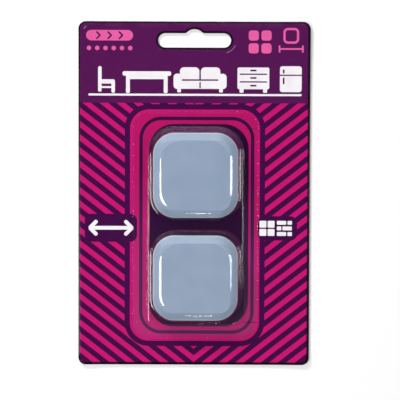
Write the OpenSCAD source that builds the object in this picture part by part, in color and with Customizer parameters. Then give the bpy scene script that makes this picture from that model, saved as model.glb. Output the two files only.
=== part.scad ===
// Carded set of square self-adhesive furniture sliders.
// A clear thermoformed blister is sealed to a printed board. Each of its two pockets
// holds two sliders, one on top of the other.
// The set lies on its back with the origin under the middle of the board: X runs across
// the board, Y runs up it towards the hang slot, and Z rises from the printed face.

/* [Board] */
// Width of the board
card_w = 124; // [110:1:150]
// Height of the board
card_h = 184; // [178:1:230]
// Thickness of the board
card_t = 0.6; // [0.4:0.1:1.2]
// Radius of the board's corners
card_r = 4; // [2:0.5:10]

/* [Hang slot] */
// Length of the hang slot from end to end
slot_w = 39; // [30:1:60]
// Height of the hang slot
slot_h = 7.7; // [6:0.1:9]
// Distance from the board's top edge to the middle of the slot
slot_drop = 10; // [9:0.5:20]
// Radius of the round peg notch in the slot's upper edge
peg_r = 6; // [5:0.1:7.5]
// Radius that eases the peg notch into the slot's upper edge
peg_ease = 1.2; // [0.5:0.1:2]

/* [Slider] */
// Side of the square slider
pad_w = 45; // [35:1:50]
// Corner radius of the slider
pad_r = 11.5; // [8:0.5:14]
// Width of the sloping bevel round the glide's face
bevel_w = 4; // [2:0.1:5]
// How far the bevel falls from the face to the rim
bevel_drop = 1.8; // [1:0.1:2.2]
// Radius of the edge between the bevel and the rim
edge_r = 0.8; // [0.4:0.1:1.2]
// Thickness of the glide's face
face_t = 1.8; // [1.2:0.1:3]
// Thickness of the glide's rim
rim_t = 1.6; // [1:0.1:2.5]
// Height of the glide from the foot of its rim to its face
glide_h = 4.2; // [3.6:0.1:5]
// How far the cushion core stands out below the glide's rim
core_proud = 1; // [0.5:0.1:2]
// Room between the cushion core and the rim around it
core_gap = 0.3; // [0.1:0.1:0.6]
// Thickness of the mounting adhesive
glue_t = 0.3; // [0.1:0.05:0.6]
// How far the adhesive stays inside the cushion's edge
glue_inset = 0.6; // [0.4:0.1:1.5]
// Thickness of the release liner
liner_t = 0.15; // [0.1:0.05:0.3]
// How far the release liner reaches past the adhesive
liner_over = 0.4; // [0:0.1:0.8]

/* [Blister] */
// Thickness of the clear film
film_t = 0.4; // [0.25:0.05:0.55]
// Width of the flange that is sealed to the board
seal_w = 7.6; // [5:0.1:12]
// Corner radius of the flange
seal_r = 8; // [4:0.5:12]
// Distance from the board's top edge to the flange's top edge
blister_drop = 48.2; // [30:0.1:50]
// How far the blister sits to the right of the board's middle
blister_shift = 0.8; // [-2:0.1:2]
// Height of the low plinth that carries both pockets
plinth_z = 2; // [1.2:0.1:4]
// Radius of the plinth's lower corners at its foot
plinth_r = 3; // [2:0.5:6]
// Radius of the plinth's upper edge
plinth_round = 0.7; // [0.6:0.1:1]
// Width of the plinth's ledge around the feet of the pockets
plinth_ledge = 1.2; // [0.7:0.1:2]
// Gap between the feet of the two pockets
pocket_space = 5.2; // [4:0.1:10]
// Slope of the pocket and plinth walls in degrees
wall_draft = 4; // [3:0.5:8]
// Radius of the pocket's upper edge
pocket_round = 6.4; // [4:0.1:7]

/* [Room] */
// Room between a centred slider's upper edge and the pocket around it
pocket_gap = 0.5; // [0.5:0.05:1.2]
// Room left there when a slider has dropped in its pocket
wall_room = 0.3; // [0.2:0.05:0.4]
// Room between the front slider's face and the top of the pocket
head_gap = 1.3; // [0.4:0.1:2]
// Room below each slider in its stack
stack_gap = 0.1; // [0.05:0.05:0.3]

/* [Hidden] */
$fn = 96;
// Overrun of every cut past the face that it leaves
over = 1;
// Smallest step of a worked-out size
grain = 0.001;
// Flat steps along each small arc beside the peg notch
ease_steps = 8;
// Flat steps round the upper edge of each glide
edge_steps = 4;
// Flat steps round each upper edge of the clear film
round_steps = 8;

// A worked-out size, rounded to the grain
function grained(size) = round(size / grain) * grain;

// Heights in one slider, counted from the underside of its release liner
glue_z = liner_t;
core_z = glue_z + glue_t;
core_h = glide_h - face_t + core_proud;
pad_h = core_z + core_h + face_t;
glide_z = pad_h - glide_h;
// Distance from a slider's middle to the centre of each of its corner arcs
pad_c = pad_w / 2 - pad_r;
core_r = pad_r - rim_t - core_gap;
glue_r = core_r - glue_inset;
liner_r = glue_r + liner_over;

// Heights of the stack above the back of the board
rear_z = card_t + stack_gap;
front_z = rear_z + pad_h + stack_gap;
stack_top = front_z + pad_h;
pocket_top = stack_top + head_gap - card_t;
tower_h = pocket_top + film_t;

// The round upper edge inside a pocket: its radius, how far the slider's edge stands above
// the middle of that round, and the middle's distance from the centre of a corner arc
shoulder_r = pocket_round - film_t;
shoulder_rise = max(0, shoulder_r - head_gap - bevel_drop);
shoulder_c = pad_r - sqrt(pow(shoulder_r - pocket_gap, 2) - pow(shoulder_rise, 2));

// Radii of the pocket's corners at the face of the board
wall_spread = (pocket_top - shoulder_r) * tan(wall_draft) + shoulder_r / cos(wall_draft);
pocket_foot_r = grained(shoulder_c + wall_spread);
tower_foot_r = pocket_foot_r + film_t;
tower_half = pad_c + tower_foot_r;
pocket_pitch = 2 * tower_half + pocket_space;

// Half sizes of the plinth and the flange, and the radius of the plinth's upper corners,
// which run round the upper pocket's foot
plinth_half_x = tower_half + plinth_ledge;
plinth_half_y = pocket_pitch / 2 + tower_half + plinth_ledge;
plinth_top_r = tower_foot_r + plinth_ledge;
seal_half_x = plinth_half_x + seal_w;
seal_half_y = plinth_half_y + seal_w;

// Places on the board
slot_y = card_h / 2 - slot_drop;
blister_y = card_h / 2 - blister_drop - seal_half_y;
// How far each slider has dropped from the middle of its pocket
rest_drop = pocket_gap - wall_room;
upper_y = blister_y + pocket_pitch / 2 - rest_drop;
lower_y = blister_y - pocket_pitch / 2 - rest_drop;

// Carries a half profile round a rectangle whose corner arcs are centred half_x and half_y
// from the middle, and fills the space inside from the height low to the height high.
module swept(half_x, half_y, low, high) {
    corners = [[1, 1, 0], [-1, 1, 90], [-1, -1, 180], [1, -1, 270]];
    for (corner = corners) {
        side = corner.x == corner.y ? 2 * half_y : 2 * half_x;
        translate([corner.x * half_x, corner.y * half_y, 0])
            rotate([0, 0, corner.z]) {
                rotate_extrude(angle = 90)
                    children();
                rotate([90, 0, 0])
                    linear_extrude(side)
                        children();
            }
    }
    translate([-half_x, -half_y, low])
        cube([2 * half_x, 2 * half_y, high - low]);
}

// A flat plate with round corners, from the height low to the height high
module plate(half_x, half_y, corner_r, low, high) {
    swept(half_x - corner_r, half_y - corner_r, low, high)
        translate([0, low])
            square([corner_r, high - low]);
}

// Half profile of the glide's body: a flat face, then a bevel that falls to a rounded edge
// at the top of the rim
module bevelled_profile(wall_r, low, high) {
    fall = atan2(bevel_drop, bevel_w);
    edge_z = high - bevel_drop - edge_r * tan((90 - fall) / 2);
    polygon([
        [0, low], [wall_r, low],
        for (step = [0 : edge_steps])
            let (turn = step / edge_steps * (90 - fall))
            [wall_r - grained(edge_r * (1 - cos(turn))), grained(edge_z + edge_r * sin(turn))],
        [wall_r - bevel_w, high], [0, high]
    ]);
}

// Half profile of a wall that leans in by the angle lean and rounds over at its top.
// It has the radius foot_r at height 0 and goes on down by the length below.
module leaning_profile(foot_r, top, lean, round_r, below) {
    round_z = top - round_r;
    round_in = round_z * tan(lean) + round_r / cos(lean);
    polygon([
        [0, -below], [foot_r + grained(below * tan(lean)), -below],
        for (step = [0 : round_steps])
            let (turn = lean + step / round_steps * (90 - lean))
            [foot_r - grained(round_in - round_r * cos(turn)), grained(round_z + round_r * sin(turn))],
        [0, top]
    ]);
}

// A block with leaning walls, round corners and a rounded upper edge, standing on the
// board's face; half_x, half_y and foot_r are its sizes there.
module leaning_block(half_x, half_y, foot_r, top, round_r, below) {
    swept(half_x - foot_r, half_y - foot_r, -below, top)
        leaning_profile(foot_r, top, wall_draft, round_r, below);
}

// The plinth's block, made smaller all round by the length inset: its lower corners are
// sharp and its upper ones follow the upper pocket
module plinth_block(inset, top, round_r, below) {
    low_r = plinth_r - inset;
    high_r = plinth_top_r - inset;
    low_x = plinth_half_x - plinth_r;
    high_x = plinth_half_x - plinth_top_r;
    low_y = plinth_half_y - plinth_r;
    high_y = plinth_half_y - plinth_top_r;
    for (side = [0, 1])
        mirror([side, 0, 0]) {
            translate([high_x, high_y, 0])
                rotate_extrude(angle = 90)
                    leaning_profile(high_r, top, wall_draft, round_r, below);
            translate([low_x, -low_y, 0])
                rotate([0, 0, -90])
                    rotate_extrude(angle = 90)
                        leaning_profile(low_r, top, wall_draft, round_r, below);
            translate([low_x, high_y, 0])
                rotate([90, 0, 0])
                    linear_extrude(low_y + high_y)
                        leaning_profile(low_r, top, wall_draft, round_r, below);
        }
    translate([-high_x, high_y, 0])
        rotate([90, 0, 90])
            linear_extrude(2 * high_x)
                leaning_profile(high_r, top, wall_draft, round_r, below);
    translate([low_x, -low_y, 0])
        rotate([90, 0, -90])
            linear_extrude(2 * low_x)
                leaning_profile(low_r, top, wall_draft, round_r, below);
    translate([-low_x, -low_y, -below])
        cube([2 * low_x, low_y + high_y, top + below]);
}

// The board's hang slot with its round peg notch, as a cutter through the board
module slot_cutter() {
    high = card_t + 2 * over;
    end_r = slot_h / 2;
    end_x = slot_w / 2 - end_r;
    ease_y = end_r + peg_ease;
    ease_x = sqrt(pow(peg_r + peg_ease, 2) - pow(ease_y, 2));
    notch_turn = atan2(ease_y, ease_x);
    notch_corner = [sqrt(pow(peg_r, 2) - pow(end_r, 2)), end_r];
    translate([-end_x, -end_r, 0])
        cube([2 * end_x, slot_h, high]);
    for (side = [0, 1])
        mirror([side, 0, 0]) {
            translate([end_x, 0, 0])
                rotate([0, 0, -90])
                    rotate_extrude(angle = 180)
                        square([end_r, high]);
            linear_extrude(high)
                polygon([
                    [0, 0], [ease_x, end_r],
                    for (step = [1 : ease_steps])
                        let (turn = -90 - step / ease_steps * (90 - notch_turn))
                        [ease_x + peg_ease * cos(turn), ease_y + peg_ease * sin(turn)]
                ]);
        }
    rotate_extrude(angle = 180)
        square([peg_r, high]);
}

// One slider's glide: a hard tray, face up, with a sloping bevel and an open back
module glide() {
    pocket_r = pad_r - rim_t;
    difference() {
        swept(pad_c, pad_c, glide_z, pad_h)
            bevelled_profile(pad_r, glide_z, pad_h);
        plate(pad_c + pocket_r, pad_c + pocket_r, pocket_r, glide_z - over, pad_h - face_t);
    }
}

// One slider's cushion core, which fills the glide and stands out below its rim
module cushion() {
    plate(pad_c + core_r, pad_c + core_r, core_r, core_z, core_z + core_h);
}

// One slider's sheet of mounting adhesive
module adhesive() {
    plate(pad_c + glue_r, pad_c + glue_r, glue_r, glue_z, core_z);
}

// One slider's release liner
module liner() {
    plate(pad_c + liner_r, pad_c + liner_r, liner_r, 0, glue_z);
}

// Puts a slider's piece in the pocket at the height pocket_y, at the level z in its stack
module stacked(pocket_y, z) {
    translate([blister_shift, pocket_y, z])
        children();
}

glide_blue = "#98a9bf";
cushion_black = "#2b2b2e";
adhesive_clear = "#e8e4d4";
liner_white = "#f2f0ea";

module backing_card() {
    color("#8c1f63")
        difference() {
            plate(card_w / 2, card_h / 2, card_r, 0, card_t);
            translate([0, slot_y, -over])
                slot_cutter();
        }
}

module blister_shell() {
    inner_half = tower_half - film_t;
    color("#dfe9f0", 0.35)
        translate([blister_shift, blister_y, card_t])
            difference() {
                union() {
                    plate(seal_half_x, seal_half_y, seal_r, 0, film_t);
                    plinth_block(0, plinth_z, plinth_round, 0);
                    for (up = [-1, 1])
                        translate([0, up * pocket_pitch / 2, 0])
                            leaning_block(tower_half, tower_half, tower_foot_r, tower_h, pocket_round, 0);
                }
                plinth_block(film_t, plinth_z - film_t, plinth_round - film_t, over);
                for (up = [-1, 1])
                    translate([0, up * pocket_pitch / 2, 0])
                        leaning_block(
                            inner_half, inner_half, pocket_foot_r, pocket_top,
                            pocket_round - film_t, over
                        );
            }
}

module upper_front_glide() { color(glide_blue) stacked(upper_y, front_z) glide(); }
module upper_front_cushion() { color(cushion_black) stacked(upper_y, front_z) cushion(); }
module upper_front_adhesive() { color(adhesive_clear) stacked(upper_y, front_z) adhesive(); }
module upper_front_liner() { color(liner_white) stacked(upper_y, front_z) liner(); }

module upper_rear_glide() { color(glide_blue) stacked(upper_y, rear_z) glide(); }
module upper_rear_cushion() { color(cushion_black) stacked(upper_y, rear_z) cushion(); }
module upper_rear_adhesive() { color(adhesive_clear) stacked(upper_y, rear_z) adhesive(); }
module upper_rear_liner() { color(liner_white) stacked(upper_y, rear_z) liner(); }

module lower_front_glide() { color(glide_blue) stacked(lower_y, front_z) glide(); }
module lower_front_cushion() { color(cushion_black) stacked(lower_y, front_z) cushion(); }
module lower_front_adhesive() { color(adhesive_clear) stacked(lower_y, front_z) adhesive(); }
module lower_front_liner() { color(liner_white) stacked(lower_y, front_z) liner(); }

module lower_rear_glide() { color(glide_blue) stacked(lower_y, rear_z) glide(); }
module lower_rear_cushion() { color(cushion_black) stacked(lower_y, rear_z) cushion(); }
module lower_rear_adhesive() { color(adhesive_clear) stacked(lower_y, rear_z) adhesive(); }
module lower_rear_liner() { color(liner_white) stacked(lower_y, rear_z) liner(); }

backing_card();
blister_shell();

upper_front_glide();
upper_front_cushion();
upper_front_adhesive();
upper_front_liner();

upper_rear_glide();
upper_rear_cushion();
upper_rear_adhesive();
upper_rear_liner();

lower_front_glide();
lower_front_cushion();
lower_front_adhesive();
lower_front_liner();

lower_rear_glide();
lower_rear_cushion();
lower_rear_adhesive();
lower_rear_liner();
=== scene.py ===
# %% [markdown]
# # A carded set of square furniture sliders
#
# Four square sliders hang in the shop on one printed board. A clear formed shell holds them in
# two stacks, so three very different surfaces lie on top of each other: ink on board, bent clear
# film and satin plastic. The measured model already fixes every size and every joint. This
# notebook only dresses it: each piece is rebuilt with the small edges and finishes that catch
# light, in the same place and in the same frame.

# %% Load the measured frame
import math

import bmesh
import bpy
from mathutils import Matrix, Vector


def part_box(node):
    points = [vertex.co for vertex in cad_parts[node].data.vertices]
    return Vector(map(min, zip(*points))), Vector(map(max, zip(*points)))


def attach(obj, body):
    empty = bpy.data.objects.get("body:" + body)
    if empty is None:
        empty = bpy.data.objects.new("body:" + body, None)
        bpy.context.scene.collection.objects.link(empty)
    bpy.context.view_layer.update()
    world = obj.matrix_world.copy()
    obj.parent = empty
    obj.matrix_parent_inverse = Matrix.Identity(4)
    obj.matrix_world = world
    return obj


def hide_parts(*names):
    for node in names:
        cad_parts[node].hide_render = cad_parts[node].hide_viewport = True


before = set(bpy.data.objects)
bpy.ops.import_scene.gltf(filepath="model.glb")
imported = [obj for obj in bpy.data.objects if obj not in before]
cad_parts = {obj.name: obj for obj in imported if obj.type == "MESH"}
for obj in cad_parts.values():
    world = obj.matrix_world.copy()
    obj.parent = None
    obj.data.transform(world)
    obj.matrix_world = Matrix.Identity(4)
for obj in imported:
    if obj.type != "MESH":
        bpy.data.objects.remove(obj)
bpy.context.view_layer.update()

MM = 0.001
scene = bpy.context.scene
scene.view_settings.view_transform = "Standard"

# %% [markdown]
# ## Where everything sits
#
# A dressed piece has to land exactly on the measured one. Typing places by hand would drift, so
# the middle of the board, the shell and each slider are read from the boxes of the loaded nodes.
# Only what a box can't tell, such as the round of an edge, is written as a number, in millimetres.

# %% Read the places
card_low, card_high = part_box("backing_card")
shell_low, shell_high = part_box("blister_shell")
card_face = card_high.z / MM
shell_middle = (shell_low + shell_high) / 2 / MM
sliders = {}
for name in ("upper_front", "upper_rear", "lower_front", "lower_rear"):
    low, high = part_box(name + "_glide")
    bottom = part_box(name + "_liner")[0]
    sliders[name] = Vector(((low.x + high.x) / 2, (low.y + high.y) / 2, bottom.z)) / MM
card_half, card_r = (card_high - card_low) / 2 / MM, 4.0
slot_wide, slot_high, peg_r = 39.0, 7.7, 6.0
slot_y = card_half.y - 10.0
print("board face at", round(card_face, 2), "shell middle", [round(v, 2) for v in shell_middle])
print("hang slot", slot_wide, "by", slot_high, "mm at height", round(slot_y, 2))
print({name: [round(v, 2) for v in place] for name, place in sliders.items()})

# %% [markdown]
# ## The camera
#
# The set is photographed from straight above, with the lens a hair towards the hang slot, which
# makes the top of the board a touch wider than its foot. A long lens keeps that lean small. The
# camera's axes are written out as a matrix, because a tracking constraint can't hold the tiny
# roll that the picture has.

# %% Place the camera
view_distance = 0.80
view_width = 0.21465
sensor_wide = 36
lean = math.radians(2.2)
roll = math.radians(0.2)
aim = Vector((0.00318, -0.00331, card_high.z))
away = Vector((0, math.sin(lean), math.cos(lean)))
right = Vector((-math.sin(roll), math.cos(roll), 0)).cross(away).normalized()
above = away.cross(right)
camera = bpy.data.objects.new("camera", bpy.data.cameras.new("camera"))
camera.data.sensor_width = sensor_wide
camera.data.lens = sensor_wide * view_distance / view_width
camera.matrix_world = (
    Matrix.Translation(aim + away * view_distance)
    @ Matrix((right, above, away)).transposed().to_4x4()
)
scene.collection.objects.link(camera)
scene.camera = camera
print("lens", round(camera.data.lens, 1), "mm at", view_distance, "m")

# %% [markdown]
# ## Wiring nodes
#
# The sky and each finish are small networks of nodes. Adding nodes one by one makes long, dull
# code, so this helper gives the few moves that all of them share: a number sum, a vector sum, a
# soft threshold and a colour blend. Colours are written as the eye names them, and turned into
# the linear light that the nodes add up.


# %% The wiring helper
def hue(code):
    """A colour such as #808080 in linear light."""
    parts = [int(code[i:i + 2], 16) / 255 for i in (1, 3, 5)]
    return (*[p / 12.92 if p <= 0.04 else ((p + 0.055) / 1.055) ** 2.4 for p in parts], 1)


class Wiring:
    def __init__(self, tree):
        self.nodes, self.links = tree.nodes, tree.links
        self.nodes.clear()

    def add(self, kind, **settings):
        node = self.nodes.new(kind)
        for key, value in settings.items():
            setattr(node, key, value)
        return node

    def feed(self, socket, value):
        if isinstance(value, bpy.types.NodeSocket):
            self.links.new(value, socket)
        else:
            socket.default_value = value

    def number(self, operation, *values):
        node = self.add("ShaderNodeMath", operation=operation)
        for socket, value in zip(node.inputs, values):
            self.feed(socket, value)
        return node.outputs[0]

    def vector(self, operation, *values, scale=None):
        node = self.add("ShaderNodeVectorMath", operation=operation)
        for socket, value in zip(node.inputs, values):
            self.feed(socket, value)
        if scale is not None:
            self.feed(node.inputs["Scale"], scale)
        return node.outputs["Value" if operation == "LENGTH" else "Vector"]

    def ramp(self, value, low, high, start=0.0, end=1.0, soft=False):
        node = self.add("ShaderNodeMapRange", clamp=True)
        node.interpolation_type = "SMOOTHSTEP" if soft else "LINEAR"
        for socket, item in zip(node.inputs, (value, low, high, start, end)):
            self.feed(socket, item)
        return node.outputs[0]

    def blend(self, share, first, second):
        node = self.add("ShaderNodeMix", data_type="RGBA")
        for index, item in ((0, share), (6, first), (7, second)):
            self.feed(node.inputs[index], item)
        return node.outputs[2]


print("mid grey #808080 is", round(hue("#808080")[0], 3), "in linear light")

# %% [markdown]
# ## Writing a finish
#
# A finish is such a network inside a material. To the shared moves it adds a cloudy grain, a
# pattern of cells and a bump. It works in millimetres on the piece's own coordinates, so a grain
# of 0.3 is 0.3 mm wide on the real thing and stays put when a piece moves.


# %% The finish helper
class Finish(Wiring):
    def __init__(self, name):
        self.material = bpy.data.materials.new(name)
        self.material.use_nodes = True
        super().__init__(self.material.node_tree)
        self.output = self.add("ShaderNodeOutputMaterial")
        place = self.add("ShaderNodeTexCoord").outputs["Object"]
        self.place = self.vector("SCALE", place, scale=1 / MM)

    def cloud(self, size, detail=2.0, rough=0.5, place=None):
        node = self.add("ShaderNodeTexNoise")
        self.feed(node.inputs["Vector"], place or self.place)
        self.feed(node.inputs["Scale"], 1 / size)
        self.feed(node.inputs["Detail"], detail)
        self.feed(node.inputs["Roughness"], rough)
        return node.outputs["Fac"]

    def cells(self, size):
        node = self.add("ShaderNodeTexVoronoi")
        self.feed(node.inputs["Vector"], self.place)
        self.feed(node.inputs["Scale"], 1 / size)
        return node

    def bump(self, height, depth, normal=None):
        node = self.add("ShaderNodeBump")
        self.feed(node.inputs["Strength"], 1.0)
        self.feed(node.inputs["Distance"], depth * MM)
        self.feed(node.inputs["Height"], height)
        if normal is not None:
            self.feed(node.inputs["Normal"], normal)
        return node.outputs[0]

    def solid(self, **sockets):
        node = self.add("ShaderNodeBsdfPrincipled")
        for name, value in sockets.items():
            self.feed(node.inputs[name.replace("_", " ")], value)
        self.links.new(node.outputs[0], self.output.inputs["Surface"])
        return self.material


print("finishes are written in millimetres; one unit of place is", MM, "m")

# %% [markdown]
# ## Floor and light
#
# The set lies on a white table in a studio. A white wall stands beyond the hang slot, a little to
# the left, so the upper edge of each slider is pale; overhead, the camera and its arm leave a dark
# patch, so flat film stays clear. Two softboxes stand left and right of the camera, and the bent
# film shows them as two upright streaks. A low lamp beyond the upper left corner throws the shadow
# to the foot and the right, and is kept out of the shine; a small lamp at the foot adds a glint.
# A sphere of lamps could do all this, but a sky that is a sum of simple directions is easier to
# read and has no edges. The floor gives the camera a little of its white straight, and keeps the
# shadow.

# %% Sky
world = bpy.data.worlds.new("studio walls")
scene.world = world
world.use_nodes = True
sky = Wiring(world.node_tree)
look = sky.add("ShaderNodeTexCoord").outputs["Generated"]
split = sky.add("ShaderNodeSeparateXYZ")
sky.feed(split.inputs[0], look)
off_axis = sky.vector("LENGTH", sky.vector("MULTIPLY", look, (1, 1, 0)))
near = sky.ramp(off_axis, 0.03, 0.14, 0.02, 0.15, soft=True)
far = sky.ramp(off_axis, 0.25, 0.5, 0.0, 0.07, soft=True)
room = sky.number("SUBTRACT", near, far)
beyond = sky.ramp(split.outputs["Y"], 0.10, 0.22, 0.0, 0.9, soft=True)
aside = sky.number("ABSOLUTE", sky.number("ADD", split.outputs["X"], 0.12))
wall = sky.number("MULTIPLY", beyond, sky.ramp(aside, 0.3, 0.7, 1.0, 0.0, soft=True))
glow = sky.add("ShaderNodeBackground")
glow.inputs["Color"].default_value = (1, 1, 1, 1)
sky.feed(glow.inputs["Strength"], sky.number("MAXIMUM", room, wall))
sky.links.new(glow.outputs[0], sky.add("ShaderNodeOutputWorld").inputs["Surface"])
print("sky:", len(sky.nodes), "nodes")

# %% Floor
white = Finish("white table")
seen = white.add("ShaderNodeLightPath")
straight = white.number("MAXIMUM", seen.outputs["Is Camera Ray"], seen.outputs["Is Glossy Ray"])
straight = white.number("MAXIMUM", straight, seen.outputs["Is Transmission Ray"])
matte = white.add("ShaderNodeBsdfDiffuse")
matte.inputs["Color"].default_value = (0.98, 0.98, 0.98, 1)
shine = white.add("ShaderNodeEmission")
shine.inputs["Color"].default_value = (1, 1, 1, 1)
share = white.add("ShaderNodeMixShader")
white.feed(share.inputs[0], white.number("MULTIPLY", straight, 0.1))
white.links.new(matte.outputs[0], share.inputs[1])
white.links.new(shine.outputs[0], share.inputs[2])
white.links.new(share.outputs[0], white.output.inputs["Surface"])

floor_mesh = bpy.data.meshes.new("floor")
reach = 12.0
floor_mesh.from_pydata(
    [(-reach, -reach, 0), (reach, -reach, 0), (reach, reach, 0), (-reach, reach, 0)],
    [], [(0, 1, 2, 3)],
)
floor_mesh.materials.append(white.material)
floor = bpy.data.objects.new("floor", floor_mesh)
scene.collection.objects.link(floor)
print("floor", 2 * reach, "m wide at height 0")


# %% Softboxes
def softbox(name, place, wide, long, brightness, in_gloss=True):
    """An oval lamp at a place in metres that faces the set, long side along Y."""
    lamp = bpy.data.lights.new(name, "AREA")
    lamp.shape = "ELLIPSE"
    lamp.size, lamp.size_y = wide, long
    lamp.energy = brightness * math.pi * wide * long
    stand = bpy.data.objects.new(name, lamp)
    facing = Vector(place).normalized()
    side = Vector((0, 1, 0)).cross(facing).normalized()
    stand.matrix_world = (
        Matrix.Translation(place)
        @ Matrix((side, facing.cross(side), facing)).transposed().to_4x4()
    )
    stand.visible_glossy = in_gloss
    scene.collection.objects.link(stand)
    print(name, "power", round(lamp.energy, 2), "W")


softbox("left softbox", (-0.46, -0.20, 0.86), 0.30, 0.48, 10.2)
softbox("right softbox", (0.54, -0.018, 0.82), 0.32, 0.26, 7.0)
softbox("low lamp", (-0.62, 0.95, 0.62), 0.12, 0.12, 175.0, in_gloss=False)
softbox("small lamp at the foot", (0.03, -0.75, 0.66), 0.09, 0.05, 18.0)

# %% [markdown]
# ## Ink shapes
#
# The board is offset printed: flat areas of ink with knife-sharp edges. Painting a picture file
# would blur when the camera comes close, so each shape is a distance sum instead. A bar with round
# corners is the distance to a box, shapes join by taking the smaller distance, and ink starts
# where the distance falls below zero. The edge is then exact at any size.


# %% Distance helpers for ink
ink_edge = 0.05


def bar(finish, place, x, y, wide, high, corner, turn=0.0):
    """Distance to a bar with round corners, in mm; turn is in degrees, counter-clockwise."""
    moved = finish.vector("SUBTRACT", place, (x, y, 0))
    if turn:
        spin = finish.add("ShaderNodeVectorRotate", rotation_type="Z_AXIS")
        finish.feed(spin.inputs["Vector"], moved)
        finish.feed(spin.inputs["Angle"], -math.radians(turn))
        moved = spin.outputs[0]
    folded = finish.vector("ABSOLUTE", moved)
    core = (wide / 2 - corner, high / 2 - corner, 100.0)
    outside = finish.vector("MAXIMUM", finish.vector("SUBTRACT", folded, core), (0, 0, 0))
    return finish.number("SUBTRACT", finish.vector("LENGTH", outside), corner)


def disc(finish, place, x, y, radius):
    return bar(finish, place, x, y, 2 * radius, 2 * radius, radius * 0.999)


def joined(finish, shapes):
    result = shapes[0]
    for shape in shapes[1:]:
        result = finish.number("MINIMUM", result, shape)
    return result


def bars(finish, place, table):
    return joined(finish, [bar(finish, place, *row) for row in table])


def without(finish, shape, hole):
    return finish.number("MAXIMUM", shape, finish.number("MULTIPLY", hole, -1.0))


def inked(finish, shape):
    return finish.ramp(shape, -ink_edge, ink_edge, 1.0, 0.0)


print("ink edges are", 2 * ink_edge, "mm wide")

# %% [markdown]
# ## The print
#
# The board is loud: violet and magenta stripes all over, a plain violet head, white pictures across
# it and small pink marks beside the slot. The stripes are plain chevrons, with a framed panel
# behind the pockets, and the pictures show what sliders carry and what they run on. Each picture
# is a table of bars, in millimetres from the middle of the board.

# %% Picture tables
chair = (
    (-50.6, 61.3, 1.9, 13.6, 0.8), (-47.0, 60.0, 8.8, 2.3, 0.9),
    (-43.5, 57.2, 1.9, 6.6, 0.8), (-47.0, 57.0, 6.0, 1.0, 0.4),
)
table = (
    (-25.5, 64.3, 26.0, 2.4, 1.0), (-25.5, 62.2, 20.0, 1.8, 0.4),
    (-35.6, 58.6, 2.1, 9.6, 0.8), (-15.4, 58.6, 2.1, 9.6, 0.8),
)
sofa = (
    (3.0, 58.4, 24.0, 4.4, 1.4), (-2.6, 63.6, 10.4, 8.2, 2.2), (8.6, 63.6, 10.4, 8.2, 2.2),
    (-8.9, 60.2, 4.6, 8.2, 2.0), (14.9, 60.2, 4.6, 8.2, 2.0),
    (-8.2, 55.4, 2.0, 2.2, 0.5), (14.2, 55.4, 2.0, 2.2, 0.5),
)
sofa_gaps = ((3.0, 58.2, 0.7, 3.4, 0.2), (3.0, 60.9, 19.4, 0.8, 0.2))
chest = ((31.5, 61.9, 17.0, 11.6, 0.9), (25.2, 55.4, 2.2, 2.4, 0.5), (37.8, 55.4, 2.2, 2.4, 0.5))
chest_gaps = (
    (31.5, 64.1, 14.6, 0.7, 0.2), (31.5, 60.0, 14.6, 0.7, 0.2), (31.5, 66.1, 3.4, 0.9, 0.4),
    (31.5, 62.1, 3.4, 0.9, 0.4), (31.5, 58.0, 3.4, 0.9, 0.4),
)
cooler = ((51.5, 61.5, 11.6, 13.8, 1.3),)
cooler_gaps = (
    (51.5, 63.6, 11.6, 0.7, 0.1), (47.7, 65.6, 0.9, 2.2, 0.4), (47.7, 60.6, 0.9, 3.6, 0.4),
)
ground = ((0.3, 53.0, 114.0, 1.1, 0.5),)
arrow_left = ((-44.6, -18.4, 22.0, 2.0, 0.9),)
arrow_heads = (
    (-54.1, -16.6, 6.0, 2.0, 0.9, 45), (-54.1, -20.2, 6.0, 2.0, 0.9, -45),
    (-35.1, -16.6, 6.0, 2.0, 0.9, -45), (-35.1, -20.2, 6.0, 2.0, 0.9, 45),
)
tile = (
    (37.0, -16.2, 3.7, 3.7, 0.5), (41.4, -16.2, 3.7, 3.7, 0.5),
    (37.0, -20.6, 3.7, 3.7, 0.5), (41.4, -20.6, 3.7, 3.7, 0.5),
)
plank = (
    (47.0, -15.4, 5.0, 2.1, 0.4), (51.4, -15.4, 2.4, 2.1, 0.4), (45.7, -18.4, 2.4, 2.1, 0.4),
    (50.0, -18.4, 5.0, 2.1, 0.4), (47.0, -21.4, 5.0, 2.1, 0.4), (51.4, -21.4, 2.4, 2.1, 0.4),
)
size_mark = (
    (51.6, 77.6, 13.0, 0.9, 0.3), (45.4, 77.6, 0.9, 3.8, 0.3), (57.8, 77.6, 0.9, 3.8, 0.3),
)
print("pictures use", sum(map(len, (chair, table, sofa, chest, cooler))), "white bars")

# %% [markdown]
# ## The board's printed face
#
# The colours are laid in the printer's order: stripes on dark violet, the panel, the head, then
# white and pink on top. Each layer is one blend over what lies under it, with a distance as its
# stencil, so a layer can be taken out or added without touching the rest.

# %% Inks and stripes
violet, dark_violet, shade_deepened_violet = hue("#541651"), hue("#3e0a43"), hue("#31073a")
magenta, white_ink, pink = hue("#c4156d"), hue("#f5f1f5"), hue("#e85fa2")

face = Finish("printed face")
flat = face.vector("MULTIPLY", face.place, (1, 1, 0))
axes = face.add("ShaderNodeSeparateXYZ")
face.feed(axes.inputs[0], flat)
card_x, card_y = axes.outputs["X"], axes.outputs["Y"]


def lay(under, shape, ink, share=None):
    """Lays an ink over the colours under it, inside a shape, fully or by a share."""
    stencil = inked(face, shape)
    if share is not None:
        stencil = face.number("MULTIPLY", stencil, share)
    return face.blend(stencil, under, ink)


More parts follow.
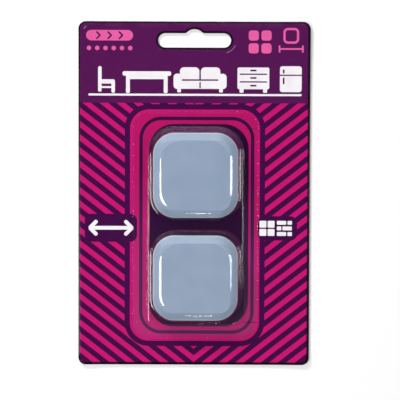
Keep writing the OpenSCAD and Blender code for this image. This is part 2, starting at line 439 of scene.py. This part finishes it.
stripe_pitch, stripe_slope = 5.6, math.radians(38)
fold_x = face.number("MULTIPLY", face.number("ABSOLUTE", card_x), -math.sin(stripe_slope))
climb_y = face.number("MULTIPLY_ADD", card_y, math.cos(stripe_slope), fold_x)
phase = face.number("FRACT", face.number("DIVIDE", climb_y, stripe_pitch))
stripe = face.number("ABSOLUTE", face.number("SUBTRACT", phase, 0.5))
stripe = face.number("MULTIPLY", face.number("SUBTRACT", stripe, 0.25), stripe_pitch)
colour = lay(dark_violet, stripe, magenta)
print("a stripe every", stripe_pitch, "mm")

# %% Panel behind the pockets
panel_y = shell_middle.y
panel = bar(face, flat, 0.4, panel_y, 75.2, 130.0, 13.0)
panel_field = bar(face, flat, 0.4, panel_y, 69.6, 124.4, 10.2)
panel_line = without(face, bar(face, flat, 1.4, panel_y, 61.6, 116.6, 11.8),
                     bar(face, flat, 1.4, panel_y, 58.0, 113.0, 10.0))
# print with painted shade: the heart sits right of the pockets in near-black violet, so the pockets'
# shadow on its right reads deeper
heart_with_painted_shade = bar(face, flat, 2.5, panel_y, 53.4, 108.8, 13.4)
pads = joined(face, [bar(face, flat, 2.75, sliders[name].y + 1.5, 47.4, 48.0, 12.6)
                     for name in ("upper_front", "lower_front")])
for shape, ink in ((panel, dark_violet), (panel_field, magenta), (panel_line, dark_violet),
                   (heart_with_painted_shade, shade_deepened_violet), (pads, hue("#5a1c58"))):
    colour = lay(colour, shape, ink)
sealed = without(face, bar(face, flat, shell_middle.x, panel_y, 67.0, 121.6, 8.0),
                 bar(face, flat, shell_middle.x, panel_y, 51.8, 106.4, 9.0))
# painted reflection: a pale violet veil under the flange for the film's sheen, growing towards the
# foot
painted_flange_sheen = face.ramp(card_y, 15.0, -40.0, 0.0, 0.09)
colour = lay(colour, sealed, hue("#c068c0"), painted_flange_sheen)
print("panel middle at", round(panel_y, 2), "mm, milky under the lower seal")

# %% Head, badges and pictures
head_foot = 48.6
head = face.number("SUBTRACT", head_foot, card_y)
badges = joined(face, [bar(face, flat, -44.6, -18.4, 28.0, 15.0, 3.6),
                       bar(face, flat, 44.8, -18.4, 21.0, 13.0, 3.6)])
whites = joined(face, [
    bars(face, flat, chair), bars(face, flat, table), bars(face, flat, ground),
    without(face, bars(face, flat, sofa), bars(face, flat, sofa_gaps)),
    without(face, bars(face, flat, chest), bars(face, flat, chest_gaps)),
    without(face, bars(face, flat, cooler), bars(face, flat, cooler_gaps)),
    bars(face, flat, arrow_left), bars(face, flat, arrow_heads),
    bars(face, flat, tile), bars(face, flat, plank),
])
square = without(face, bar(face, flat, 51.6, 84.6, 8.4, 8.4, 2.4),
                 bar(face, flat, 51.6, 84.6, 6.0, 6.0, 1.3))
quarters = joined(face, [bar(face, flat, x, y, 5.4, 5.4, 1.5)
                         for x in (31.6, 38.4) for y in (77.9, 84.7)])
pill = without(face, bar(face, flat, -45.4, 84.6, 25.0, 5.6, 2.8), bars(face, flat, [
    (-45.4 + step, 84.6 + side * 0.9, 3.0, 0.9, 0.3, -45 * side)
    for step in (-6, 0, 6) for side in (1, -1)]))
dots = joined(face, [disc(face, flat, -56.4 + 4.4 * step, 77.8, 1.2) for step in range(6)])
pinks = joined(face, [square, quarters, pill, dots, bars(face, flat, size_mark)])
for shape, ink in ((head, violet), (badges, dark_violet), (whites, white_ink), (pinks, pink)):
    colour = lay(colour, shape, ink)
print("printed face so far:", len(face.nodes), "nodes")

# %% [markdown]
# ## Wear, painted edge shade and gloss of the print
#
# Ink on coated board is smooth and slightly shiny, a little cloudy where it soaked in, with a few
# white specks of dust. Along the rim and the slot, where the die bent the board over, painted shade
# makes it nearly black, wider on the right and at the foot, away from the light. It is scuffed
# pale beside the slot, and a painted highlight marks a glint on the curled upper left corner. A
# picture of wear would repeat itself, so distances and noise place it. The sheet has a fine orange
# peel, which the bump gives.

# %% Painted edge shade, scuffs, painted glint and dust
slot_end_x = (slot_wide - slot_high) / 2
peg_notch = disc(face, flat, 0.0, slot_y, peg_r)
peg_notch = face.number("MAXIMUM", peg_notch, face.number("SUBTRACT", slot_y, card_y))
slot_shape = bar(face, flat, 0.0, slot_y, slot_wide, slot_high, slot_high / 2 - 0.01)
slot_shape = joined(face, [slot_shape, peg_notch])
# painted shade: the sheet shape is moved up and left, so the dark band runs wider on the right and
# foot
sheet_shape = bar(face, flat, -0.25, 0.25, 2 * card_half.x, 2 * card_half.y, card_r)
rim = without(face, sheet_shape, slot_shape)
rim_starts, rim_full = 1.35, 0.8
# painted shade: this band darkens the bent-over rim and the slot edge nearly to black
painted_edge_shade = face.ramp(rim, -rim_starts, -rim_full, 0.0, 0.97, soft=True)
colour = face.blend(painted_edge_shade, colour, hue("#0c010a"))
scuffs_and_glint = without(face, disc(face, flat, slot_end_x, slot_y, 6.75),
                disc(face, flat, slot_end_x, slot_y, 6.5))
scuffs_and_glint = face.number("MAXIMUM", scuffs_and_glint, bar(face, flat, 20.0, 76.9, 6.0, 4.0, 1.0, 45))
# painted highlight: this short pale bar is a glint on the curled upper left corner; the arc by the
# slot end is a real scuff
scuffs_and_glint = joined(face, [scuffs_and_glint, bar(face, flat, -58.5, 88.7, 2.2, 0.3, 0.14, 48)])
colour = lay(colour, scuffs_and_glint, hue("#cdb3cf"), 0.5)

soak = face.ramp(face.cloud(9.0, 4.0, 0.6), 0.3, 0.7, 0.0, 0.10)
colour = face.blend(soak, colour, dark_violet)
speck = face.cells(7.0)
dust = face.ramp(speck.outputs["Distance"], 0.012, 0.030, 0.75, 0.0)
rare = face.add("ShaderNodeSeparateColor")
face.feed(rare.inputs[0], speck.outputs["Color"])
dust = face.number("MULTIPLY", dust, face.number("GREATER_THAN", rare.outputs[0], 0.62))
colour = face.blend(dust, colour, hue("#d9c9dc"))
print("the dark rim starts", rim_starts, "mm in from the edge")

# %% Gloss of the print
peel = face.bump(face.cloud(0.45, 3.0, 0.6), 0.004)
peel = face.bump(face.cloud(14.0, 2.0), 0.05, peel)
gloss = face.ramp(face.cloud(3.0, 3.0), 0.3, 0.7, 0.16, 0.24)
printed_face = face.solid(
    Base_Color=colour, Roughness=gloss, Normal=peel, Specular_IOR_Level=0.12)
print("printed face:", len(face.nodes), "nodes")

# %% [markdown]
# ## The board's back and cut edge
#
# The back is bare grey-white board with pulp fibres in it, and the cut edge shows the plies as
# fine lines. Fibres are noise stretched along one way; plies are thin bands across the thickness.

# %% Bare board and cut edge
back = Finish("bare board")
long_way = back.vector("MULTIPLY", back.place, (0.25, 1.6, 1.0))
fibres = back.cloud(0.7, 5.0, 0.65, long_way)
blotch = back.cloud(12.0, 3.0)
tint = back.blend(back.ramp(fibres, 0.35, 0.7), hue("#e9e5dc"), hue("#cfc9bd"))
tint = back.blend(back.ramp(blotch, 0.4, 0.75, 0.0, 0.35), tint, hue("#d8d2c4"))
bare_board = back.solid(
    Base_Color=tint, Roughness=back.ramp(fibres, 0.3, 0.7, 0.78, 0.92),
    Normal=back.bump(fibres, 0.015))

edge = Finish("cut edge")
thin = edge.vector("MULTIPLY", edge.place, (0.3, 0.3, 9.0))
plies = edge.cloud(0.8, 3.0, 0.6, thin)
tint = edge.blend(edge.ramp(plies, 0.35, 0.7), hue("#b9aeb0"), hue("#8d7c88"))
cut_edge = edge.solid(
    Base_Color=tint, Roughness=edge.ramp(plies, 0.3, 0.7, 0.8, 0.95),
    Normal=edge.bump(plies, 0.03))
print("board finishes:", printed_face.name, bare_board.name, cut_edge.name)

# %% [markdown]
# ## Round outlines and lofts
#
# Nearly every piece here is a rounded rectangle that changes size with height: a slider, a pocket,
# a flange. So one helper gives the points of such an outline and another strings a stack of
# outlines into a skin. Every outline has the same number of points, which keeps the skin clean.


# %% Outline and loft helpers
arc_steps, side_steps = 14, 10


def outline(half_x, half_y, corner, low_corner=None):
    """Points of a rounded rectangle round the origin, counter-clockwise, in mm."""
    low_corner = corner if low_corner is None else low_corner
    arcs = []
    for turn, (sx, sy) in enumerate(((1, 1), (-1, 1), (-1, -1), (1, -1))):
        round_r = corner if sy > 0 else low_corner
        middle = Vector((sx * (half_x - round_r), sy * (half_y - round_r)))
        angles = [(turn + step / arc_steps) * math.pi / 2 for step in range(arc_steps + 1)]
        arcs.append([middle + round_r * Vector((math.cos(a), math.sin(a))) for a in angles])
    points = []
    for arc, following in zip(arcs, arcs[1:] + arcs[:1]):
        points += arc
        points += [arc[-1].lerp(following[0], step / side_steps) for step in range(1, side_steps)]
    return points


def ring(bm, place, half_x, half_y, corner, z, low_corner=None):
    spots = outline(half_x, half_y, corner, low_corner)
    return [bm.verts.new(((place.x + p.x) * MM, (place.y + p.y) * MM, z * MM)) for p in spots]


def skin(bm, rings):
    for lower, upper in zip(rings, rings[1:]):
        for i in range(len(lower)):
            j = (i + 1) % len(lower)
            bm.faces.new((lower[i], lower[j], upper[j], upper[i]))


def piece(name, bm, materials, sharp=35):
    mesh = bpy.data.meshes.new(name)
    bm.to_mesh(mesh)
    bm.free()
    for material in materials:
        mesh.materials.append(material)
    mesh.shade_smooth()
    mesh.set_sharp_from_angle(angle=math.radians(sharp))
    made = bpy.data.objects.new(name, mesh)
    scene.collection.objects.link(made)
    return made


print("outlines have", 4 * (arc_steps + side_steps), "points")

# %% [markdown]
# ## The board
#
# The board is die-cut, and its rim curls up a little past the sealed area, because ink and varnish
# shrink on one side. A flat slab can't do that, so the outline with its hang slot is filled, cut
# into a grid and lifted towards the edges. Its rim is then set in by a hair and lowered, as the
# die presses it, and the whole face is drawn down to give the thickness, with bare board behind
# and cut edge round it.


# %% Board shape
def slot_outline():
    """The hang slot with its round peg notch, in mm round the slot's middle."""
    end_r, ease = slot_high / 2, 1.2
    ease_x = math.sqrt((peg_r + ease) ** 2 - (end_r + ease) ** 2)
    meet = math.atan2(end_r + ease, ease_x)
    right_half = []
    for step in range(13):
        angle = math.radians(15 * step - 90)
        right_half.append((slot_end_x + end_r * math.cos(angle), end_r * math.sin(angle)))
    for step in range(7):
        angle = -math.pi / 2 - step / 6 * (math.pi / 2 - meet)
        right_half.append((ease_x + ease * math.cos(angle), end_r + ease + ease * math.sin(angle)))
    for step in range(1, 9):
        angle = meet + step / 8 * (math.pi / 2 - meet)
        right_half.append((peg_r * math.cos(angle), peg_r * math.sin(angle)))
    return right_half + [(-x, y) for x, y in right_half[-2::-1]]


def curl(x, y):
    """How far the board's rim lifts, in mm, at a point in mm; it starts at the flat part's end."""
    flat_side, flat_top, flat_foot = 36, 46, 79
    side = max(0.0, (abs(x) - flat_side) / (card_half.x - flat_side)) ** 2
    top = max(0.0, (y - flat_top) / (card_half.y - flat_top)) ** 2
    foot = max(0.0, (-y - flat_foot) / (card_half.y - flat_foot)) ** 2
    return 0.8 * side + 0.8 * top + 0.6 * foot


bm = bmesh.new()
loops = [outline(card_half.x, card_half.y, card_r),
         [Vector((x, y + slot_y)) for x, y in slot_outline()]]
edges = []
for loop in loops:
    spots = [bm.verts.new((p.x * MM, p.y * MM, card_face * MM)) for p in loop]
    edges += [bm.edges.new((a, b)) for a, b in zip(spots, spots[1:] + spots[:1])]
bmesh.ops.triangle_fill(bm, use_beauty=True, use_dissolve=False, edges=edges)
grid = 4
for normal, half in ((Vector((1, 0, 0)), card_half.x), (Vector((0, 1, 0)), card_half.y)):
    for step in range(-int(half / grid), int(half / grid) + 1):
        everything = bm.verts[:] + bm.edges[:] + bm.faces[:]
        cut_at = normal * step * grid * MM
        bmesh.ops.bisect_plane(bm, geom=everything, plane_co=cut_at, plane_no=normal)
for vert in bm.verts:
    vert.co.z += curl(vert.co.x / MM, vert.co.y / MM) * MM
bmesh.ops.recalc_face_normals(bm, faces=bm.faces[:])
if sum(f.normal.z for f in bm.faces) < 0:
    bmesh.ops.reverse_faces(bm, faces=bm.faces[:])
pressed_in, pressed_down = 0.1, 0.05
bmesh.ops.inset_region(bm, faces=bm.faces[:], thickness=pressed_in * MM, use_boundary=True)
for vert in bm.verts:
    if vert.is_boundary:
        vert.co.z -= pressed_down * MM
grown = bmesh.ops.extrude_face_region(bm, geom=bm.faces[:])["geom"]
for vert in grown:
    if isinstance(vert, bmesh.types.BMVert):
        vert.co.z = curl(vert.co.x / MM, vert.co.y / MM) * MM
bmesh.ops.recalc_face_normals(bm, faces=bm.faces[:])
for one in bm.faces:
    one.material_index = 0 if one.normal.z > 0.5 else 1 if one.normal.z < -0.5 else 2
board = piece("printed_board", bm, (printed_face, bare_board, cut_edge))
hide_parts("backing_card")
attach(board, "card")
print("board:", len(board.data.polygons), "faces")

# %% [markdown]
# ## Satin slider plastic
#
# The glides are moulded in a slippery grey-blue plastic. It is satin, not glossy, with faint clouds
# from the melt and a fine matte grain. A paler tone is painted along the rim where it turns down, as
# a painted highlight of the rounded edge. Clouds drive both colour and roughness, so light breaks up
# gently on the flat.

# %% Slider plastic
plastic = Finish("satin slider plastic")
melt = plastic.cloud(11.0, 4.0, 0.55)
fine = plastic.cloud(0.35, 3.0, 0.6)
tint = plastic.blend(plastic.ramp(melt, 0.3, 0.7), hue("#95a8bf"), hue("#9daec5"))
fleck = plastic.cells(6.0)
spot = plastic.ramp(fleck.outputs["Distance"], 0.02, 0.05, 0.5, 0.0)
pick = plastic.add("ShaderNodeSeparateColor")
plastic.feed(pick.inputs[0], fleck.outputs["Color"])
spot = plastic.number("MULTIPLY", spot, plastic.number("GREATER_THAN", pick.outputs[1], 0.8))
tint = plastic.blend(spot, tint, hue("#c3cedb"))
facing = plastic.add("ShaderNodeSeparateXYZ")
plastic.feed(facing.inputs[0], plastic.add("ShaderNodeTexCoord").outputs["Normal"])
# painted highlight: the rim is painted paler where its normal turns down from the flat face
painted_rim_highlight = plastic.ramp(facing.outputs["Z"], 0.6, 0.88, 0.9, 0.0)
painted_rim_highlight = plastic.number("MULTIPLY", painted_rim_highlight, plastic.ramp(facing.outputs["Z"], 0.02, 0.15))
tint = plastic.blend(painted_rim_highlight, tint, hue("#eef2f7"))
grain = plastic.bump(fine, 0.004)
grain = plastic.bump(melt, 0.05, grain)
slider_plastic = plastic.solid(
    Base_Color=tint, Roughness=plastic.ramp(melt, 0.3, 0.7, 0.28, 0.36), Normal=grain)
print("slider plastic:", len(plastic.nodes), "nodes")

# %% [markdown]
# ## The glides
#
# A glide is a square tray with big round corners, face up. Its flat face falls away in a sloping
# bevel to a softly rounded rim, and the open back takes the cushion. As a lathe can't turn a
# square, the tray's half profile is carried round the rounded square, from the middle of the face
# over the rim to the middle of the back. The face's corners are tucked in, so that the bevel runs
# broader round them than along the sides.


# %% Glide shape
corner_middle, side_past = 11.0, 11.5
tray_lift, tray_high, tray_floor = 1.45, 4.2, 2.4
bevel_wide, bevel_fall, edge_r = 4.0, 1.8, 0.8
face_half, face_corner, face_dip, corner_tuck = 18.5, 5.5, 0.03, 2.0
back_half, back_corner = 20.6, 9.6


def glide_profile():
    """(distance past the corner's centre, height over the rim's foot) from face to back, in mm."""
    tilt = math.atan2(bevel_fall, bevel_wide)
    edge_z = tray_high - bevel_fall - edge_r * math.tan((math.pi / 2 - tilt) / 2)
    rows = [(7.3, tray_high), (7.42, 4.195), (7.58, 4.16), (7.8, 4.065), (9.4, 3.345)]
    for step in range(9):
        angle = (1 - step / 8) * (math.pi / 2 - tilt)
        rows.append((side_past - edge_r + edge_r * math.cos(angle), edge_z + edge_r * math.sin(angle)))
    rows += [(side_past, 1.6), (side_past, 0.3), (11.44, 0.1), (11.25, 0.0)]
    rows += [(10.1, 0.0), (9.95, 0.06), (9.9, 0.2), (9.9, 2.2), (9.8, 2.36), (9.6, tray_floor)]
    return rows


def make_glide(name, place):
    bm = bmesh.new()
    foot = place.z + tray_lift
    rings = []
    for share in (0.04, 0.2, 0.4, 0.6, 0.8, 0.95, 0.988):
        z = foot + tray_high - face_dip * (1 - share ** 2)
        rings.append(ring(bm, place, face_half * share, face_half * share, face_corner * share, z))
    for past, z in glide_profile():
        on_bevel = min(1.0, (side_past - past) / bevel_wide) if z > tray_floor else 0.0
        reach = corner_middle + past
        rings.append(ring(bm, place, reach, reach, past - corner_tuck * on_bevel, foot + z))
    for share in (0.95, 0.5, 0.04):
        half = back_half * share
        rings.append(ring(bm, place, half, half, back_corner * share, foot + tray_floor))
    skin(bm, rings)
    bm.faces.new(rings[0][::-1])
    bm.faces.new(rings[-1])
    bmesh.ops.recalc_face_normals(bm, faces=bm.faces[:])
    return piece(name + "_slider_tray", bm, (slider_plastic,), 40)


for name, place in sliders.items():
    tray = make_glide(name, place)
    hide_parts(name + "_glide")
    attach(tray, name + "_slider")
print("made", len(sliders), "slider trays of", len(tray.data.polygons), "faces")

# %% [markdown]
# ## Cushion, adhesive and liner
#
# Behind each glide sits a dense foam cushion, a sheet of clear mounting glue and a peel-off liner.
# They hide in the pack but show when a slider is taken out. The foam has rounded edges, slightly
# swollen sides and open cells, the glue is a thin sheet with a soft edge, and the liner is waxed
# paper. All three are a rounded slab in three sizes, so one helper makes them.

# %% Foam, glue and liner finishes
foam = Finish("dense foam")
pores = foam.cells(0.55).outputs["Distance"]
clouds = foam.cloud(4.0, 3.0)
tint = foam.blend(foam.ramp(pores, 0.1, 0.6), hue("#1d1d20"), hue("#3a3a3e"))
tint = foam.blend(foam.ramp(clouds, 0.35, 0.7, 0.0, 0.4), tint, hue("#2c2b30"))
dense_foam = foam.solid(
    Base_Color=tint, Roughness=foam.ramp(clouds, 0.3, 0.7, 0.8, 0.95),
    Normal=foam.bump(pores, 0.12))

glue = Finish("mounting glue")
haze = glue.cloud(2.0, 4.0, 0.6)
tint = glue.blend(glue.ramp(haze, 0.35, 0.7), hue("#e6dfc6"), hue("#f0ead8"))
mounting_glue = glue.solid(
    Base_Color=tint, Roughness=glue.ramp(haze, 0.3, 0.7, 0.12, 0.28),
    Normal=glue.bump(haze, 0.03))

paper = Finish("waxed liner paper")
weft = paper.cloud(0.5, 5.0, 0.65, paper.vector("MULTIPLY", paper.place, (0.4, 1.4, 1.0)))
tint = paper.blend(paper.ramp(weft, 0.35, 0.7), hue("#f3f0e8"), hue("#e2ddd0"))
liner_paper = paper.solid(
    Base_Color=tint, Roughness=paper.ramp(weft, 0.3, 0.7, 0.38, 0.55),
    Normal=paper.bump(weft, 0.01))
print("inner finishes:", dense_foam.name, mounting_glue.name, liner_paper.name)


# %% Cushion, adhesive and liner shapes
def slab(name, place, past, low, high, edge_round, swell, material):
    """A pad with a rounded edge; its sides swell by the given amount halfway up."""
    flat_past = past - edge_round
    quarter = [step / 4 * math.pi / 2 for step in range(5)]
    arc = [(flat_past + edge_round * math.sin(a), edge_round * (1 - math.cos(a))) for a in quarter]
    rows = [(reach, low + rise) for reach, rise in arc]
    for share in (0.25, 0.5, 0.75):
        rise = edge_round + (high - low - 2 * edge_round) * share
        rows.append((past + swell * math.sin(share * math.pi), low + rise))
    rows += [(reach, high - rise) for reach, rise in arc[::-1]]

    bm = bmesh.new()

    def square_ring(past, z, share=1.0):
        half = (corner_middle + past) * share
        return ring(bm, place, half, half, past * share, place.z + z)

    rings = [square_ring(flat_past, low, share) for share in (0.04, 0.5, 0.9)]
    rings += [square_ring(reach, z) for reach, z in rows]
    rings += [square_ring(flat_past, high, share) for share in (0.9, 0.5, 0.04)]
    skin(bm, rings)
    bm.faces.new(rings[0][::-1])
    bm.faces.new(rings[-1])
    bmesh.ops.recalc_face_normals(bm, faces=bm.faces[:])
    return piece(name, bm, (material,), 50)


liner_top, glue_top, foam_top = 0.15, 0.45, 3.85
for name, place in sliders.items():
    pad = slab(name + "_foam_core", place, 9.6, glue_top, foam_top, 0.35, 0.10, dense_foam)
    sheet = slab(name + "_glue_sheet", place, 9.0, liner_top, glue_top, 0.12, 0.02, mounting_glue)
    cover = slab(name + "_peel_liner", place, 9.4, 0.0, liner_top, 0.03, 0.0, liner_paper)
    for made, node, slot in ((pad, "_cushion", "cushion_foam"), (sheet, "_adhesive", "mounting_glue"),
                             (cover, "_liner", "liner_paper")):
        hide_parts(name + node)
        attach(made, name + "_slider")
print("each slider carries a foam core, a glue sheet and a peel liner")

# %% [markdown]
# ## Clear film
#
# Formed film is thin, so it hardly bends what lies behind it; what gives it away is shine. It is
# therefore a mix of plain see-through and mirror, shared out by how flat the eye meets it. Steep
# walls swallow some light, so the see-through part darkens there. Gentle dents from the forming
# mould make the streaks waver, and on the right a fine crease crosses the flange at each end of
# the plinth.

# %% Film finish
crease_x, crease_y, crease_wide = 25.9, 52.1, 0.45
film = Finish("clear film")
dent = film.bump(film.cloud(9.0, 2.0), 0.018)
dent = film.bump(film.cloud(2.2, 2.0), 0.002, dent)
axes = film.add("ShaderNodeSeparateXYZ")
film.feed(axes.inputs[0], film.place)
past_end = film.number("SUBTRACT", axes.outputs["Y"], shell_middle.y)
past_end = film.number("SUBTRACT", film.number("ABSOLUTE", past_end), crease_y)
crease = film.ramp(film.number("ABSOLUTE", past_end), 0.0, crease_wide, 1.0, 0.0, soft=True)
past_side = film.number("SUBTRACT", axes.outputs["X"], shell_middle.x)
past_side = film.number("GREATER_THAN", past_side, crease_x)
crease = film.number("MULTIPLY", crease, past_side)
dent = film.bump(crease, 0.02, dent)
bend = film.add("ShaderNodeFresnel")
inside = film.add("ShaderNodeNewGeometry").outputs["Backfacing"]
film.feed(bend.inputs["IOR"], film.ramp(inside, 0.0, 1.0, 1.5, 1 / 1.5))
film.feed(bend.inputs["Normal"], dent)
steep = film.add("ShaderNodeLayerWeight")
steep.inputs["Blend"].default_value = 0.5
film.feed(steep.inputs["Normal"], dent)
clear = film.add("ShaderNodeBsdfTransparent")
pale = film.ramp(steep.outputs["Facing"], 0.35, 0.95)
glassy = film.blend(pale, (0.99, 0.992, 0.995, 1), (0.93, 0.92, 0.94, 1))
smoke = film.ramp(crease, 0.5, 1.0, 0.0, 0.4)
film.feed(clear.inputs["Color"], film.blend(smoke, glassy, (0.3, 0.25, 0.3, 1)))
mirror = film.add("ShaderNodeBsdfGlossy")
mirror.inputs["Color"].default_value = (1, 1, 1, 1)
mirror.inputs["Roughness"].default_value = 0.02
film.feed(mirror.inputs["Normal"], dent)
mix = film.add("ShaderNodeMixShader")
film.feed(mix.inputs[0], bend.outputs[0])
film.links.new(clear.outputs[0], mix.inputs[1])
film.links.new(mirror.outputs[0], mix.inputs[2])
film.links.new(mix.outputs[0], film.output.inputs["Surface"])
print("film finish:", len(film.nodes), "nodes")

# %% [markdown]
# ## The formed shell
#
# The film was drawn over a mould: a flat flange that is sealed to the board, a low plinth, and two
# pockets with sloping walls and soft shoulders. It could be cut from a grid, but rounded outlines
# follow the mould better. The flange and plinth are one loft, each pocket another, and the flat top
# of the plinth is filled between them. A solidify step gives the film its thickness, and the
# flange stays a breath above the ink, so that the two faces don't fight.

# %% Flange and plinth
draft = math.radians(4)
slope, draft_cos = math.tan(draft), math.cos(draft)
flange_wide, flange_r, flange_high, flange_lift = 7.6, 8.0, 0.4, 0.1
plinth, plinth_round, high_r, low_r = 2.0, 1.0, 14.917, 3.0
foot_fillet, film_thick = 0.12, 0.37


def fillet(from_angle, to_angle, steps):
    """Angles along an arc, given in degrees and returned in radians."""
    return [math.radians(from_angle + (to_angle - from_angle) * s / steps) for s in range(steps + 1)]


bm = bmesh.new()
level = card_face
middle = Vector((shell_middle.x, shell_middle.y, 0))
seal = (shell_high - shell_low) / 2 / MM
foot_x, foot_y = seal.x - flange_wide, seal.y - flange_wide
base = []
for share in (1.0, 0.985, 0.75, 0.5, 0.25, 0.06):
    out = foot_fillet + (flange_wide - foot_fillet) * share
    corners = [r + foot_fillet + (flange_r - r - foot_fillet) * share for r in (high_r, low_r)]
    base.append(ring(bm, middle, foot_x + out, foot_y + out, corners[0],
                     level + flange_high + flange_lift * share ** 6, corners[1]))
edge_x = -(plinth - plinth_round) * slope - plinth_round / draft_cos
rows = []
for angle in fillet(0, 86, 6):
    out = foot_fillet * (1 - math.sin(angle)) - flange_high * slope
    rows.append((out, flange_high + foot_fillet * (1 - math.cos(angle))))
for angle in fillet(4, 90, 7):
    rows.append((edge_x + plinth_round * math.cos(angle),
                 plinth - plinth_round + plinth_round * math.sin(angle)))
for out, z in rows:
    base.append(ring(bm, middle, foot_x + out, foot_y + out, high_r + out, level + z, low_r + out))
skin(bm, base)
ledge = [base[-1]]
print("flange and plinth:", len(base), "outlines")

# %% [markdown]
# ## The pocket walls
#
# A drawn wall isn't one straight slope. The upper and lower walls lean in a few degrees and turn
# over in one arc. The left and right walls stand steeper and turn over in two arcs, a tight hip and
# a wide crown, and near the top the corners slacken. Each is a sum that gives the wall's place at
# any height, so the loft can take as many outlines as the streaks of light need.

# %% Wall sums
tower_top, pocket_pitch = 13.2, 54.634
end_r, end_round = 13.717, 6.4
side_r, side_lean = 12.64, math.radians(1.2)
crown_x, crown_round, turn = 5.893, 7.4, math.radians(35)
turn_x = crown_x + crown_round * math.sin(turn)
turn_z = tower_top - crown_round * (1 - math.cos(turn))
side_slope = math.tan(side_lean)
hip_run = math.cos(side_lean) - math.sin(turn) - side_slope * (math.cos(turn) - math.sin(side_lean))
hip_round = (side_r - side_slope * turn_z - turn_x) / hip_run
hip_x, hip_z = turn_x - hip_round * math.sin(turn), turn_z - hip_round * math.cos(turn)


def end_reach(z):
    """Distance past the corner's centre at the height z on the upper and lower walls."""
    bend_z = tower_top - end_round
    if z < bend_z + end_round * math.sin(draft):
        return end_r - z * slope
    bend_r = end_r - bend_z * slope - end_round / draft_cos
    return bend_r + math.sqrt(max(0.0, end_round ** 2 - (z - bend_z) ** 2))


def side_reach(z):
    """The same on the left and right walls."""
    if z >= turn_z:
        return crown_x + math.sqrt(max(0.0, crown_round ** 2 - (z - tower_top + crown_round) ** 2))
    if z > hip_z + hip_round * math.sin(side_lean):
        return hip_x + math.sqrt(hip_round ** 2 - (z - hip_z) ** 2)
    return side_r - z * side_slope


def corner_ease(z):
    """How much wider the corners sweep near the top, where the film slackens, in mm."""
    slack_from, slack_run, slack_most = 9.9, 3.0, 3.0
    rise = min(1.0, max(0.0, (z - slack_from) / slack_run))
    return slack_most * rise * rise * (3 - 2 * rise)


print("hip radius", round(hip_round, 2), "mm, crown radius", crown_round, "mm")

# %% Pockets
toe_x, toe_y, toe_z = 1.2, 0.1, 0.4
bend_high = 6.9
heights = [3.0, 3.9, 4.8, 5.6]
heights += [tower_top - bend_high + bend_high * math.sin(angle) for angle in fillet(0, 90, 26)]
for up in (1, -1):
    spot = middle + Vector((0, up * pocket_pitch / 2, 0))
    rings = []
    for angle in fillet(0, 86, 7):
        swell = 1 - math.sin(angle)
        past_x, past_y = side_reach(plinth) + toe_x * swell, end_reach(plinth) + toe_y * swell
        rings.append(ring(bm, spot, corner_middle + past_x, corner_middle + past_y,
                          (past_x + past_y) / 2, level + plinth + toe_z * (1 - math.cos(angle))))
    for z in heights:
        past_x, past_y = side_reach(z), end_reach(z)
        corner = (past_x + past_y) / 2 + corner_ease(z)
        rings.append(ring(bm, spot, corner_middle + past_x, corner_middle + past_y, corner, level + z))
    for share in (0.985, 0.94, 0.85, 0.7, 0.5, 0.3, 0.12, 0.03):
        half_x, half_y = (corner_middle + past_x) * share, (corner_middle + past_y) * share
        rings.append(ring(bm, spot, half_x, half_y, corner * share, level + tower_top))
    skin(bm, rings)
    bm.faces.new(rings[-1])
    ledge.append(rings[0])
print("each pocket:", len(rings), "outlines")

# %% Ledge and film thickness
edges = []
for loop in ledge:
    for a, b in zip(loop, loop[1:] + loop[:1]):
        edges.append(bm.edges.get((a, b)))
filled = bmesh.ops.triangle_fill(bm, use_beauty=True, use_dissolve=False, edges=edges)["geom"]
bm.faces.index_update()
flat_faces = [made.index for made in filled if isinstance(made, bmesh.types.BMFace)]
bmesh.ops.recalc_face_normals(bm, faces=bm.faces[:])
if sum(f.normal.z * f.calc_area() for f in bm.faces) < 0:
    bmesh.ops.reverse_faces(bm, faces=bm.faces[:])
shell = piece("clear_shell", bm, (film.material,), 60)
for index in flat_faces:
    shell.data.polygons[index].use_smooth = False
thick = shell.modifiers.new("film thickness", "SOLIDIFY")
thick.thickness = film_thick * MM
thick.offset = -1
thick.use_even_offset = True
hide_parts("blister_shell")
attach(shell, "blister")
print("shell:", len(shell.data.polygons), "faces before it gets its thickness")
